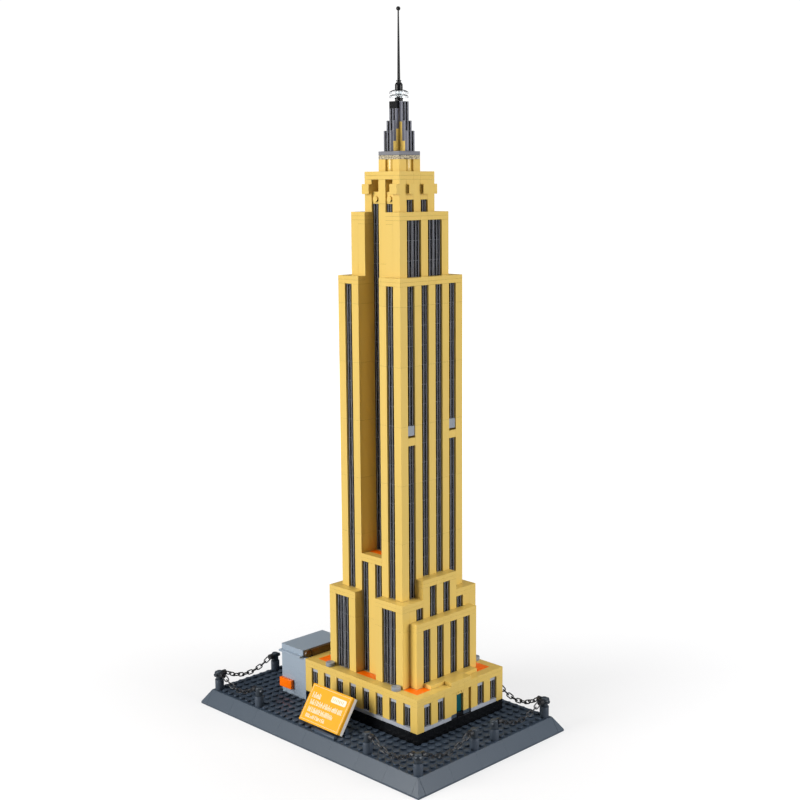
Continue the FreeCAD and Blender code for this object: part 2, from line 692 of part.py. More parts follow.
def lower_tier():
    """Wide foot of the tower, its two bays, the stepped blocks over them and the recess infills."""
    wall_top = LOWER_TOP - CAP
    piers = column(1, 2, 3, 4, POD_TOP, wall_top)
    piers += column(1, 2, 6, 7, POD_TOP, wall_top)
    piers += column(2, 3, 3, 4, POD_TOP, wall_top)
    piers += column(3, 4, 3, 4, POD_TOP, STEP_WINDOW)
    piers += column(4, 5, 3, 4, POD_TOP, STEP_TOP - CAP)
    piers += column(5, 6, 3, 4, POD_TOP, STEP_WINDOW)
    piers += column(6, 7, 3, 4, POD_TOP, STEP_TOP - CAP)
    for col in (2, 4, 6):
        piers += column(col, col + 1, 2, 3, POD_TOP, BAY_TOP - CAP)
    piers += column(2, 3, 8, 9, POD_TOP, INFILL_TOP - CAP)
    courses = [
        (1, 4, 3, 4, LOWER_TOP), (1, 2, 4, 7, LOWER_TOP), (2, 11, 2, 3, BAY_TOP),
        (4, 9, 3, 4, STEP_TOP), (2, 3, 7, 10, INFILL_TOP),
    ]
    caps = headers_and_caps(courses, piers)
    windows = windows_all_round([
        Window(LEFT, 4, 6, 1, POD_TOP, 4),
        Window(LEFT, 7, 8, 2, POD_TOP, 6),
        Window(FRONT, 3, 4, 2, POD_TOP, 3),
        Window(FRONT, 5, 6, 2, POD_TOP, 3),
        Window(FRONT, 3, 4, 3, STEP_WINDOW, 1),
        Window(FRONT, 5, 6, 3, STEP_WINDOW, 2),
    ])
    save("lower_tier_piers", bricks(all_round(piers)))
    save("lower_tier_caps", bricks(all_round(caps)))
    save("lower_tier_grilles", grilles(windows))
    return windows


def headers_and_caps(courses, piers):
    """Adds the header course of each wall to piers and returns the cap tiles that lie on it."""
    caps = []
    for c0, c1, r0, r1, top in courses:
        piers += course(c0, c1, r0, r1, top - CAP, top - 1)
        caps += course(c0, c1, r0, r1, top - 1, top)
    return caps


def shaft():
    """Tall straight part, with four window strips front and back and a deep recess at each side."""
    wall_top = SHAFT_TOP - CAP
    piers = []
    for col in (2, 4, 6):
        piers += column(col, col + 1, 4, 5, LOWER_TOP, wall_top)
    piers += column(2, 5, 6, 7, LOWER_TOP, wall_top)
    piers += column(4, 5, 8, 9, INFILL_TOP, CROWN_TOP - CAP)
    piers += column(5, 6, 4, 5, LOWER_TOP, STEP_TOP)
    tile_foot = STRIP_SPLIT + CAP + STRIP_GAP
    piers += [(3, 4, 4, 5, STRIP_SPLIT, STRIP_SPLIT + CAP)]
    caps = headers_and_caps([(2, 11, 4, 5, SHAFT_TOP), (2, 3, 5, 7, SHAFT_TOP)], piers)
    strip_tiles = round((wall_top - tile_foot - STRIP_TILE) / GRILLE_PLATES)
    windows = windows_all_round([
        Window(FRONT, 3, 4, 4, LOWER_TOP, round((STRIP_SPLIT - LOWER_TOP) / GRILLE_PLATES)),
        Window(FRONT, 3, 4, 4, tile_foot + STRIP_TILE, strip_tiles),
        Window(FRONT, 5, 6, 4, STEP_TOP, round((wall_top - STEP_TOP) / GRILLE_PLATES)),
        Window(LEFT, 5, 6, 2, LOWER_TOP, round((wall_top - LOWER_TOP) / GRILLE_PLATES)),
        Window(LEFT, 7, 8, 4, INFILL_TOP, 18),
    ])
    grey = []
    for col in (3.5, 2 * MID_COL - 3.5):
        tile = Part.makeBox(PITCH - 2 * PLAY, PLATE, STRIP_TILE * PLATE - SEAM, V(-PITCH / 2 + PLAY, 0, 0))
        grey.append(on_wall(tile, FRONT, col, 4, tile_foot, RECESS / 2))
        grey.append(on_wall(tile, BACK, col, 2 * MID_ROW - 4, tile_foot, RECESS / 2))
    save("shaft_piers", bricks(all_round(piers)))
    save("shaft_caps", bricks(all_round(caps)))
    save("shaft_grilles", grilles(windows))
    save("strip_tiles", grey)
    return windows


def upper_block():
    foot = SHAFT_TOP - 1
    wall_top = UPPER_TOP - CAP
    piers = column(3, 4, 5, 6, foot, wall_top) + column(6, 7, 5, 6, foot, wall_top)
    piers += column(3, 5, 6, 7, SHAFT_TOP - CAP, wall_top)
    caps = headers_and_caps([(3, 10, 5, 6, UPPER_TOP), (3, 4, 6, 7, UPPER_TOP)], piers)
    windows = windows_all_round([Window(FRONT, 4, 6, 5, foot, 3)])
    save("upper_piers", bricks(all_round(piers)))
    save("upper_caps", bricks(all_round(caps)))
    return windows


def crown():
    """Top stage: short windows, small blocks standing proud, round tiles in the side openings."""
    foot = UPPER_TOP - CAP
    wall_top = CROWN_TOP - CAP
    window_top = foot + GRILLE_PLATES
    piers = column(4, 5, 6, 7, foot, wall_top) + column(6, 7, 6, 7, foot, wall_top)
    piers += [(5, 6, 6, 7, window_top, BLOCK_L0), (5, 6, 6, 7, BLOCK_L0, wall_top)]
    caps = headers_and_caps([(4, 9, 6, 7, CROWN_TOP), (4, 5, 7, 10, CROWN_TOP)], piers)
    windows = windows_all_round([Window(FRONT, 5, 6, 6, foot, 1)])

    block = Part.makeBox(PITCH - 2 * PLAY, BLOCK_T, STRIP_TILE * PLATE, V(-PITCH / 2 + PLAY, -BLOCK_T, 0))
    thick, tall, deep = POCKET
    hollow = Part.makeBox(deep, thick, tall, V(-PITCH / 2 + PLAY, -(BLOCK_T + thick) / 2,
                                               (STRIP_TILE * PLATE - tall) / 2))
    blocks = []
    for col in (5.5, 2 * MID_COL - 5.5):
        blocks.append(on_wall(block.cut(hollow), FRONT, col, 6, BLOCK_L0))
        blocks.append(on_wall(block.cut(hollow), BACK, col, 2 * MID_ROW - 6, BLOCK_L0))
    for row in (6.5, 2 * MID_ROW - 6.5):
        blocks.append(on_wall(block, LEFT, row, 4, BLOCK_L0))
        blocks.append(on_wall(block, RIGHT, row, 2 * MID_COL - 4, BLOCK_L0))

    recess_top = INFILL_TOP + 18 * GRILLE_PLATES
    stud_brick = Part.makeBox(PITCH - 2 * PLAY, PITCH - RECESS - PLAY, 3 * PLATE - SEAM,
                              V(PLAY - PITCH / 2, RECESS, 0))
    stud_brick = stud_brick.fuse(Part.makeCylinder(STUD_R, RECESS, V(0, 0, SIDE_STUD_Z), V(0, 1, 0)))
    side_studs = []
    for row in (7.5, 2 * MID_ROW - 7.5):
        side_studs.append(on_wall(stud_brick, LEFT, row, 4, recess_top))
        side_studs.append(on_wall(stud_brick, RIGHT, row, 2 * MID_COL - 4, recess_top))
    save("crown_piers", bricks(all_round(piers)))
    save("crown_caps", bricks(all_round(caps)))
    save("crown_blocks", blocks)
    save("crown_stud_bricks", side_studs)
    return windows


def tower_core():
    """Hidden inner walls, bonded to the outer ones, that the backing plates clip to."""
    walls = column(2, 11, 4, 5, POD_TOP, LOWER_TOP)
    walls += column(3, 10, 5, 6, POD_TOP, SHAFT_TOP - 1)
    walls += column(5, 6, 6, 11, POD_TOP, UPPER_TOP - CAP)
    walls += column(4, 5, 7, 10, POD_TOP, INFILL_TOP)
    walls += column(3, 4, 7, 10, POD_TOP, INFILL_TOP - 1)
    walls += column(2, 3, 5, 7, POD_TOP, LOWER_TOP)
    walls += column(5, 8, 7, 8, UPPER_TOP - CAP, CROWN_TOP)
    walls += column(5, 6, 8, 9, UPPER_TOP - CAP, CROWN_TOP)
    save("tower_core", bricks(all_round(walls)))


# ---- spire ----

def drum():
    """Four corner bricks and a middle one, with a round brick in the middle of each side."""
    boxes = all_round([(5, 6, 7, 8, CROWN_TOP, DRUM_TOP), (6, 7, 8, 9, CROWN_TOP, DRUM_TOP)])
    rounds = []
    for col, row in ((6.5, 7.5), (6.5, 9.5), (5.5, 8.5), (7.5, 8.5)):
        rounds.append(Part.makeCylinder(ROUND_R, (DRUM_TOP - CROWN_TOP) * PLATE - SEAM,
                                        V(x_at(col), y_at(row), z_at(CROWN_TOP))))
    save("spire_drum", bricks(boxes) + rounds)
    save("spire_plates", bricks([(5, 8, 7, 10, DRUM_TOP, DRUM_TOP + 1), (5, 8, 7, 10, DRUM_TOP + 1, GREY_TOP)]))


def arm_piece(shape, facing, layer, level):
    """Stands a sideways tile or plate on an arm; layer 1 lies against the core, 3 is the outermost."""
    middle_along, middle_plane = (MID_COL, MID_ROW) if facing in (FRONT, BACK) else (MID_ROW, MID_COL)
    outward = -1 if facing in (FRONT, LEFT) else 1
    plane = middle_plane + outward * (0.5 + layer * ARM / PITCH)
    return on_wall(shape, facing, middle_along, plane, level)


def packer(plates):
    return Part.makeBox(PITCH - 2 * PLAY, ARM - SEAM, plates * PLATE - SEAM, V(-PITCH / 2 + PLAY, 0, 0))


def spire():
    drum()
    tan = [brick((6, 7, 8, 9, GREY_TOP, SIDE_TOP))]
    fins = []
    ends = [brick((6, 7, 8, 9, SIDE_TOP, SPIRE_TOP))]
    for facing in (FRONT, RIGHT, BACK, LEFT):
        fins.append(arm_piece(GRILLE, facing, 3, GREY_TOP))
        tan.append(arm_piece(packer(STRIP_TILE), facing, 2, GREY_TOP))
        fins.append(arm_piece(GRILLE, facing, 2, GREY_TOP + STRIP_TILE))
        inner_foot = SPIRE_TOP - GRILLE_PLATES
        if facing in (LEFT, RIGHT):
            inner_foot = SIDE_TOP - GRILLE_PLATES
            ends.append(arm_piece(packer(SPIRE_TOP - SIDE_TOP), facing, 1, SIDE_TOP))
        tan.append(arm_piece(packer(inner_foot - GREY_TOP), facing, 1, GREY_TOP))
        fins.append(arm_piece(GRILLE, facing, 1, inner_foot))
    tip = V(x_at(MID_COL), y_at(MID_ROW), z_at(SPIRE_TOP))
    ends.append(Part.makeCylinder(TIP_STUD_R, TIP_STUD_H, tip))
    save("spire_core", tan)
    save("spire_grilles", fins)
    save("spire_end_pieces", ends)
    return tip


def turned(points, foot):
    """Solid of revolution about the spire's axis from (radius, height) points, both ends on the axis."""
    outline = [V(r, 0, z) for r, z in points]
    face = Part.Face(Part.makePolygon(outline + outline[:1]))
    solid = face.revolve(V(0, 0, 0), UP, 360)
    solid.translate(foot)
    return solid


def dish_points(hole_r, hole_h):
    """Half section of a dish, rim down: thin dome, neck, stud on top, hole for the stud below."""
    points = [(hole_r, 0), (hole_r, hole_h), (0, hole_h), (0, DISH_H + TIP_STUD_H)]
    points += [(TIP_STUD_R, DISH_H + TIP_STUD_H), (TIP_STUD_R, DISH_H)]
    steps = 6
    dome = []
    for i in range(steps + 1):
        r = DISH_NECK_R + (DISH_R - DISH_NECK_R) * i / steps
        dome.append((r, DISH_RIM + (DISH_H - DISH_RIM) * (1 - (i / steps) ** 2)))
    inner_r = DISH_R - DISH_SHELL
    under = [(min(r, inner_r), z - DISH_SHELL) for r, z in reversed(dome) if r < DISH_R]
    return points + dome + [(DISH_R, 0), (inner_r, 0), (inner_r, DISH_RIM)] + under + [(DISH_NECK_R, 0)]


def top_hardware(tip):
    """Black neck piece, two clear dishes and the whip antenna, each turning on the stud below."""
    hole_h = TIP_STUD_H + FIT
    hole_r = TIP_STUD_R + FIT
    ring_foot = NECK_PIECE_H - NECK_RING_H
    neck = turned([(hole_r, 0), (hole_r, hole_h), (0, hole_h), (0, NECK_PIECE_H + TIP_STUD_H),
                   (TIP_STUD_R, NECK_PIECE_H + TIP_STUD_H), (TIP_STUD_R, NECK_PIECE_H),
                   (NECK_RING_R, NECK_PIECE_H), (NECK_RING_R, ring_foot), (NECK_PIECE_R, ring_foot),
                   (NECK_PIECE_R, 0)], tip + UP * SEAM)
    first = tip + UP * (NECK_PIECE_H + 2 * SEAM)
    second = first + UP * (DISH_H + SEAM)
    third = second + UP * (DISH_H + SEAM)
    dish = dish_points(hole_r, hole_h)
    save("spire_neck", [neck])
    save("dish_lower", [turned(dish, first)])
    save("dish_upper", [turned(dish, second)])
    save("antenna", [mast(third, hole_r, hole_h)])


def mast(foot, hole_r, hole_h):
    collar = MAST_FOOT_H + 1.2
    collar_top = collar + 0.7
    rod = collar_top + 0.8
    shoulder = MAST_FOOT_H - 1.4
    ball = MAST_H - 2 * BALL_R
    points = [(hole_r, 0), (hole_r, hole_h), (0, hole_h), (0, ball + BALL_R), (MAST_R1, ball + BALL_R),
              (MAST_R1, ball), (MAST_R0, rod), (MAST_R0, collar_top), (MAST_COLLAR_R, collar_top),
              (MAST_COLLAR_R, collar), (MAST_R0 + 0.5, collar), (MAST_R0 + 0.5, MAST_FOOT_H),
              (MAST_FOOT_R - 0.8, MAST_FOOT_H), (MAST_FOOT_R, shoulder), (MAST_FOOT_R, 0)]
    solid = turned(points, foot)
    return solid.fuse(Part.makeSphere(BALL_R, foot + UP * (ball + BALL_R)))


# ---- annex ----

def annex():
    cols, row0, row1 = ANNEX_COLS, ANNEX_ROW0, ANNEX_ROW1
    walls = []
    levels = [(level, level + 1) for level in range(ANNEX_COURSES)] + [(ANNEX_COURSES, ANNEX_WALL)]
    for l0, l1 in levels:
        walls += [(0, 1, row0, row1, l0, l1), (cols - 1, cols, row0, row1, l0, l1)]
        walls += [(1, cols - 1, row1 - 1, row1, l0, l1), (1, cols - 1, row0, row0 + 1, l0, l1)]
    save("annex_walls", bricks(walls))

    low = brick((0, cols, row0, row1, ANNEX_WALL, ANNEX_TOP - 1), TRIM_T)
    slab = brick((0, cols, row0, row1, ANNEX_TOP - 1, ANNEX_TOP), TRIM_T)
    lip = Part.makeBox(ANNEX_LEDGE, (row1 - row0) * PITCH - 2 * PLAY - TRIM_T, ANNEX_LEDGE_T,
                       V(x_at(0) + PLAY - ANNEX_LEDGE, y_at(row0) + PLAY + TRIM_T, z_at(ANNEX_WALL)))
    save("annex_roof", [low.fuse(lip), slab])

    height = (ANNEX_TOP - ANNEX_WALL) * PLATE
    size_x = (cols - 1) * PITCH - 2 * PLAY
    strip = Part.makeBox(size_x, TRIM_T - PLAY, height - SEAM, V(x_at(1) + PLAY, y_at(row0) + PLAY, z_at(ANNEX_WALL)))
    knob = Part.makeCylinder(height / 2, TRIM_T - PLAY, V(x_at(0.5), y_at(row0) + PLAY, z_at(ANNEX_WALL) + height / 2),
                             V(0, 1, 0))
    save("annex_trim", [strip, knob])

    box_w = (BOX_ROWS[1] - BOX_ROWS[0]) * PITCH - 2 * PLAY
    box = Part.makeBox(box_w, PLATE, STRIP_TILE * PLATE, V(-box_w / 2, -PLATE, 0))
    save("wall_box", [on_wall(box, LEFT, sum(BOX_ROWS) / 2, 0, BOX_L0)])


def main():
    os.makedirs("parts", exist_ok=True)
    base()
    fence()
    sign()
    podium()
    windows = lower_tier() + shaft()
    top_windows = upper_block() + crown()
    save("upper_grilles", grilles(top_windows))
    save("backing_plates", backing(windows + top_windows))
    tower_core()
    top_hardware(spire())
    annex()


main()
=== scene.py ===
import json
import math
import random

import bmesh
import bpy
from mathutils import Matrix, Vector

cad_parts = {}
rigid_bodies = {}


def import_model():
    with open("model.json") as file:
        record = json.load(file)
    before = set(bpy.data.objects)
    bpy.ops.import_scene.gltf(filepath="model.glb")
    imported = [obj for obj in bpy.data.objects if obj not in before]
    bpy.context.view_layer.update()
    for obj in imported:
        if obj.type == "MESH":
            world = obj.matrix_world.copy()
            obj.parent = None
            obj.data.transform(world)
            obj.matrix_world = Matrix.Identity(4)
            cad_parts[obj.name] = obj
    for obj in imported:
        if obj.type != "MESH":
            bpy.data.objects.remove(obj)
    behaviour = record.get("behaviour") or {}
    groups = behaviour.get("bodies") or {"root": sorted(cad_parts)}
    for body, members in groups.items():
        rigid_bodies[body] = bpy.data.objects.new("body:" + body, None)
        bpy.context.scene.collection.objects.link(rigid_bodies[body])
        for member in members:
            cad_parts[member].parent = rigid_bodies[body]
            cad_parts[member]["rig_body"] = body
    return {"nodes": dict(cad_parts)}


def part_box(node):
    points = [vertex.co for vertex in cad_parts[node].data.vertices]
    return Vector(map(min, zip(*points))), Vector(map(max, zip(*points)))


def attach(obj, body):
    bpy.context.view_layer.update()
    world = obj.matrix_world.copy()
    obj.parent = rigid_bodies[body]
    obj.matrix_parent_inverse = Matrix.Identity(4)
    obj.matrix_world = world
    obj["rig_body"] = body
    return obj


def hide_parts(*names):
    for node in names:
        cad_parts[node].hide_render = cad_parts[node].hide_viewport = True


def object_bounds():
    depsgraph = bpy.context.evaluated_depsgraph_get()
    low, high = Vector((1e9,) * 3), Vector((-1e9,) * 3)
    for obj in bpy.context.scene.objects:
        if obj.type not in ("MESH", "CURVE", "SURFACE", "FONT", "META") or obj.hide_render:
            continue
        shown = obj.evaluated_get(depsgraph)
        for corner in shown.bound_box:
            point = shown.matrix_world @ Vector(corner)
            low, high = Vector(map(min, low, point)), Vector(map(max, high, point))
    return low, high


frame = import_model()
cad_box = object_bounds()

scene = bpy.context.scene
MM = 0.001


# ---- table, lights and camera ----
# The model stands free on a table in a daylight studio: one large soft light on the sign's side,
# a weaker one in front of the entrance, and white all round. The table is grey paper with a painted glow
# that only the camera sees: it makes the table look white, and is weaker near the model so that the
# shadow round the base shows.

def studio_light(name, place, target, size, power, tint):
    lamp = bpy.data.lights.new(name, "AREA")
    lamp.shape = "RECTANGLE"
    lamp.size, lamp.size_y = size
    lamp.energy = power
    lamp.color = tint
    holder = bpy.data.objects.new(name, lamp)
    holder.location = place
    holder.rotation_euler = (Vector(target) - Vector(place)).to_track_quat("-Z", "Y").to_euler()
    scene.collection.objects.link(holder)


def make_table():
    bm = bmesh.new()
    bmesh.ops.create_circle(bm, cap_ends=True, segments=96, radius=6.0)
    mesh = bpy.data.meshes.new("table_top")
    bm.to_mesh(mesh)
    bm.free()
    table = bpy.data.objects.new("table_top", mesh)
    scene.collection.objects.link(table)
    paper = bpy.data.materials.new("grey_paper_painted_glow")
    paper.use_nodes = True
    nodes, link = paper.node_tree.nodes, paper.node_tree.links.new
    shader = nodes["Principled BSDF"]
    shader.inputs["Base Color"].default_value = (0.36, 0.36, 0.365, 1)
    shader.inputs["Roughness"].default_value = 0.7
    shader.inputs["Specular IOR Level"].default_value = 0.1
    # Painted glow, for camera rays only: from 0.56 near the model to 1.1 further out, so the grey paper looks
    # white, least so round the base.
    place = nodes.new("ShaderNodeTexCoord")
    distance = nodes.new("ShaderNodeVectorMath")
    distance.operation = "LENGTH"
    fade = nodes.new("ShaderNodeMapRange")
    fade.inputs["From Min"].default_value = 0.15
    fade.inputs["From Max"].default_value = 1.3
    fade.inputs["To Min"].default_value = 0.56
    fade.inputs["To Max"].default_value = 1.1
    seen = nodes.new("ShaderNodeLightPath")
    glow = nodes.new("ShaderNodeMath")
    glow.operation = "MULTIPLY"
    link(place.outputs["Object"], distance.inputs[0])
    link(distance.outputs["Value"], fade.inputs["Value"])
    link(fade.outputs["Result"], glow.inputs[0])
    link(seen.outputs["Is Camera Ray"], glow.inputs[1])
    link(glow.outputs[0], shader.inputs["Emission Strength"])
    shader.inputs["Emission Color"].default_value = (1, 1, 1, 1)
    mesh.materials.append(paper)


def make_camera():
    """Looks a little down on the model, from the corner between sign and entrance."""
    spot = (-0.7485, -0.7857, 0.4582)
    azimuth, elevation, roll = (math.radians(angle) for angle in (-45.47, 9.47, -0.32))
    back = Vector((math.sin(azimuth) * math.cos(elevation), -math.cos(azimuth) * math.cos(elevation),
                   math.sin(elevation)))
    right = Vector((0, 0, 1)).cross(back).normalized()
    up = back.cross(right)
    turn = Matrix((right, up, back)).transposed() @ Matrix.Rotation(roll, 3, "Z")
    lens = bpy.data.cameras.new("camera")
    lens.sensor_width = 36.0
    lens.lens = 59.2
    lens.shift_x = -0.0203
    lens.shift_y = 0.0026
    lens.clip_start, lens.clip_end = 0.01, 50
    camera = bpy.data.objects.new("camera", lens)
    camera.matrix_world = Matrix.Translation(spot) @ turn.to_4x4()
    scene.collection.objects.link(camera)
    scene.camera = camera


make_table()
make_camera()
middle = (cad_box[0] + cad_box[1]) / 2
studio_light("left_softbox", (-2.1, 0.75, 0.75), middle, (1.3, 1.7), 71, (1.0, 0.985, 0.96))
studio_light("right_softbox", (0.75, -2.1, 0.75), middle, (1.3, 1.7), 48.5, (0.985, 0.99, 1.0))
studio_light("top_panel", (0.1, 0.1, 2.2), middle, (1.6, 1.6), 26, (1.0, 1.0, 1.0))
world = bpy.data.worlds.new("white_room")
world.use_nodes = True
room, room_link = world.node_tree.nodes, world.node_tree.links.new
far_wall = room.new("ShaderNodeLightPath")
seen_through = room.new("ShaderNodeMath")
seen_through.operation = "MAXIMUM"
brightness = room.new("ShaderNodeMapRange")
brightness.inputs["To Min"].default_value = 0.11
brightness.inputs["To Max"].default_value = 1.05
room["Background"].inputs["Color"].default_value = (1, 1, 1, 1)
room_link(far_wall.outputs["Is Camera Ray"], seen_through.inputs[0])
room_link(far_wall.outputs["Is Transmission Ray"], seen_through.inputs[1])
room_link(seen_through.outputs[0], brightness.inputs["Value"])
room_link(brightness.outputs["Result"], room["Background"].inputs["Strength"])
scene.world = world
scene.view_settings.view_transform = "Standard"


# ---- tan brickwork of the podium and the tower ----
# Clip-together bricks, plates and tiles of moulded ABS, held by the studs of the piece below.
# Each has crisp edges rounded by a tenth of a millimetre, and batches differ slightly in colour.

EDGE = 0.14 * MM                # rounding of a moulded edge
SOFT_TURN = math.radians(30)    # faces that meet at less than this are one round surface
SHARP_TURN = math.radians(50)
MERGE = 0.004 * MM
TOUCH = 0.01 * MM
SAME_WAY = 0.9995               # two normals whose product is above this belong to one plane


def separate_bricks(bm):
    """The faces of each separate brick in turn."""
    seen = set()
    for first in bm.faces:
        if first in seen:
            continue
        brick = [first]
        seen.add(first)
        for face in brick:
            for edge in face.edges:
                for neighbour in edge.link_faces:
                    if neighbour not in seen:
                        seen.add(neighbour)
                        brick.append(neighbour)
        yield brick


def place_of(brick):
    """The brick's bounds in hundredths of a millimetre, which put a node's bricks in a fixed order."""
    corners = [v.co for face in brick for v in face.verts]
    return tuple(round(end(c[axis] for c in corners) / TOUCH) for end in (min, max) for axis in range(3))


def tint_each_brick(bm, seed):
    """Gives every separate brick its own small number, which its colour follows."""
    tone = bm.faces.layers.float.new("tone")
    dice = random.Random(seed)
    for brick in sorted(separate_bricks(bm), key=place_of):
        value = dice.random()
        for face in brick:
            face[tone] = value


def close_up(bm, amount):
    """Widens each brick by the slack that pressing the wall together takes up, inside the outline."""
    for brick in separate_bricks(bm):
        corners = {v for face in brick for v in face.verts}
        for axis in (0, 1):
            low = min(v.co[axis] for v in corners)
            high = max(v.co[axis] for v in corners)
            for v in corners:
                if v.co[axis] - low < TOUCH:
                    v.co[axis] = max(v.co[axis] - amount, cad_box[0][axis])
                elif high - v.co[axis] < TOUCH:
                    v.co[axis] = min(v.co[axis] + amount, cad_box[1][axis])


def is_level(edge):
    return abs(edge.verts[0].co.z - edge.verts[1].co.z) < TOUCH


def is_flat(face, flat_ways):
    return any(face.normal.dot(way) > SAME_WAY for way in flat_ways)


def mark_painted_joint_shade(bm):
    """Marks the lower rounded edge of each brick for painted shade: the material darkens it as if in the
    shadow of its joint.
    """
    joint_shade = bm.faces.layers.float.new("joint_shade")
    for face in bm.faces:
        face[joint_shade] = 1.0 if -0.98 < face.normal.z < -0.2 else 0.0


def moulded(node, material, edge=EDGE, bed=None, slack=0.0, steps=2):
    """The node's bricks as moulded pieces: flat faces whole, sharp edges rounded, round faces smooth.
    With a bed width, level edges are rounded by that much, as where courses meet, and the lower rounded edges
    are marked for painted shade."""
    bm = bmesh.new()
    bm.from_mesh(frame["nodes"][node].data)
    bmesh.ops.remove_doubles(bm, verts=bm.verts, dist=MERGE)
    bmesh.ops.dissolve_limit(bm, angle_limit=math.radians(0.5), verts=bm.verts, edges=bm.edges)
    if slack > 0:
        close_up(bm, slack)
    turns = {e: e.calc_face_angle(0.0) for e in bm.edges}
    curved = bm.faces.layers.int.new("curved")
    flat_ways = []
    for face in bm.faces:
        face[curved] = any(0.01 < turns[e] < SOFT_TURN for e in face.edges)
        if not face[curved] and not is_flat(face, flat_ways):
            flat_ways.append(face.normal.copy())
    for width, level in ((edge, False), (bed or edge, True)):
        sharp = [e for e in bm.edges if e.calc_face_angle_signed(0.0) >= SOFT_TURN and is_level(e) == level]
        if width > 0 and sharp:
            bmesh.ops.bevel(bm, geom=sharp, offset=width, offset_type="OFFSET", segments=steps,
                            profile=0.5, affect="EDGES", material=-1, clamp_overlap=True)
            bm.normal_update()
    for face in bm.faces:
        face.smooth = bool(face[curved]) or not is_flat(face, flat_ways)
    for e in bm.edges:
        e.smooth = e.calc_face_angle(0.0) < SHARP_TURN
    if bed:
        mark_painted_joint_shade(bm)
    tint_each_brick(bm, node)
    mesh = bpy.data.meshes.new(node + "_moulded")
    bm.to_mesh(mesh)
    bm.free()
    mesh.materials.append(material)
    piece = bpy.data.objects.new(node + "_moulded", mesh)
    scene.collection.objects.link(piece)
    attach(piece, frame["nodes"][node]["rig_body"])
    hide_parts(node)
    return piece


def moulding_effects():
    """Group: small differences between bricks, faint flow marks, the fine skin of moulded plastic, and
    painted shade on the lower rounded edges at the joints.
    """
    group = bpy.data.node_groups.new("moulding_effects", "ShaderNodeTree")
    face = group.interface
    face.new_socket("Color", in_out="INPUT", socket_type="NodeSocketColor")
    face.new_socket("Batch", in_out="INPUT", socket_type="NodeSocketFloat").default_value = 0.05
    face.new_socket("Gloss", in_out="INPUT", socket_type="NodeSocketFloat").default_value = 0.25
    face.new_socket("Color", in_out="OUTPUT", socket_type="NodeSocketColor")
    face.new_socket("Roughness", in_out="OUTPUT", socket_type="NodeSocketFloat")
    face.new_socket("Height", in_out="OUTPUT", socket_type="NodeSocketFloat")
    nodes, link = group.nodes, group.links.new
    ins, outs = nodes.new("NodeGroupInput"), nodes.new("NodeGroupOutput")
    where = nodes.new("ShaderNodeTexCoord")
    tone = nodes.new("ShaderNodeAttribute")
    tone.attribute_name = "tone"

    flow = nodes.new("ShaderNodeTexNoise")
    flow.inputs["Scale"].default_value = 45
    flow.inputs["Detail"].default_value = 3
    link(where.outputs["Object"], flow.inputs["Vector"])
    skin = nodes.new("ShaderNodeTexNoise")
    skin.inputs["Scale"].default_value = 2600
    skin.inputs["Detail"].default_value = 2
    link(where.outputs["Object"], skin.inputs["Vector"])

    mixed = nodes.new("ShaderNodeMath")
    mixed.operation = "MULTIPLY_ADD"
    mixed.inputs[1].default_value = 0.12
    link(flow.outputs["Fac"], mixed.inputs[0])
    link(tone.outputs["Fac"], mixed.inputs[2])
    centred = nodes.new("ShaderNodeMath")
    centred.operation = "SUBTRACT"
    centred.inputs[1].default_value = 0.56
    link(mixed.outputs[0], centred.inputs[0])
    shift = nodes.new("ShaderNodeMath")
    shift.operation = "MULTIPLY_ADD"
    shift.inputs[2].default_value = 1.0
    link(centred.outputs[0], shift.inputs[0])
    link(ins.outputs["Batch"], shift.inputs[1])
    tinted = nodes.new("ShaderNodeVectorMath")
    tinted.operation = "SCALE"
    link(ins.outputs["Color"], tinted.inputs[0])
    link(shift.outputs[0], tinted.inputs["Scale"])
    # Painted shade: marked lower rounded edges are darkened to 8 % of their colour, as if in the shadow of
    # the joint between courses.
    joint_shade = nodes.new("ShaderNodeAttribute")
    joint_shade.attribute_name = "joint_shade"
    shade = nodes.new("ShaderNodeMapRange")
    shade.inputs["To Min"].default_value = 1.0
    shade.inputs["To Max"].default_value = 0.08
    link(joint_shade.outputs["Fac"], shade.inputs["Value"])
    shaded = nodes.new("ShaderNodeVectorMath")
    shaded.operation = "SCALE"
    link(tinted.outputs[0], shaded.inputs[0])
    link(shade.outputs["Result"], shaded.inputs["Scale"])
    link(shaded.outputs[0], outs.inputs["Color"])

    rough = nodes.new("ShaderNodeMath")
    rough.operation = "MULTIPLY_ADD"
    rough.inputs[1].default_value = 0.05
    link(flow.outputs["Fac"], rough.inputs[0])
    link(ins.outputs["Gloss"], rough.inputs[2])
    link(rough.outputs[0], outs.inputs["Roughness"])
    height = nodes.new("ShaderNodeMath")
    height.operation = "MULTIPLY_ADD"
    height.inputs[1].default_value = 0.25
    link(skin.outputs["Fac"], height.inputs[0])
    link(flow.outputs["Fac"], height.inputs[2])
    link(height.outputs[0], outs.inputs["Height"])
    return group


effects = moulding_effects()


def plastic(name, color, gloss=0.25, batch=0.05, relief=0.02, specular=0.5, coat=0.0):
    """Moulded plastic of one colour."""
    made = bpy.data.materials.new(name)
    made.use_nodes = True
    nodes, link = made.node_tree.nodes, made.node_tree.links.new
    shader = nodes["Principled BSDF"]
    group = nodes.new("ShaderNodeGroup")
    group.node_tree = effects
    group.inputs["Color"].default_value = (*color, 1)
    group.inputs["Batch"].default_value = batch
    group.inputs["Gloss"].default_value = gloss
    bump = nodes.new("ShaderNodeBump")
    bump.inputs["Strength"].default_value = relief
    bump.inputs["Distance"].default_value = 0.2 * MM
    link(group.outputs["Color"], shader.inputs["Base Color"])
    link(group.outputs["Roughness"], shader.inputs["Roughness"])
    link(group.outputs["Height"], bump.inputs["Height"])
    link(bump.outputs["Normal"], shader.inputs["Normal"])
    shader.inputs["Specular IOR Level"].default_value = specular
    shader.inputs["IOR"].default_value = 1.53
    shader.inputs["Coat Weight"].default_value = coat
    return made


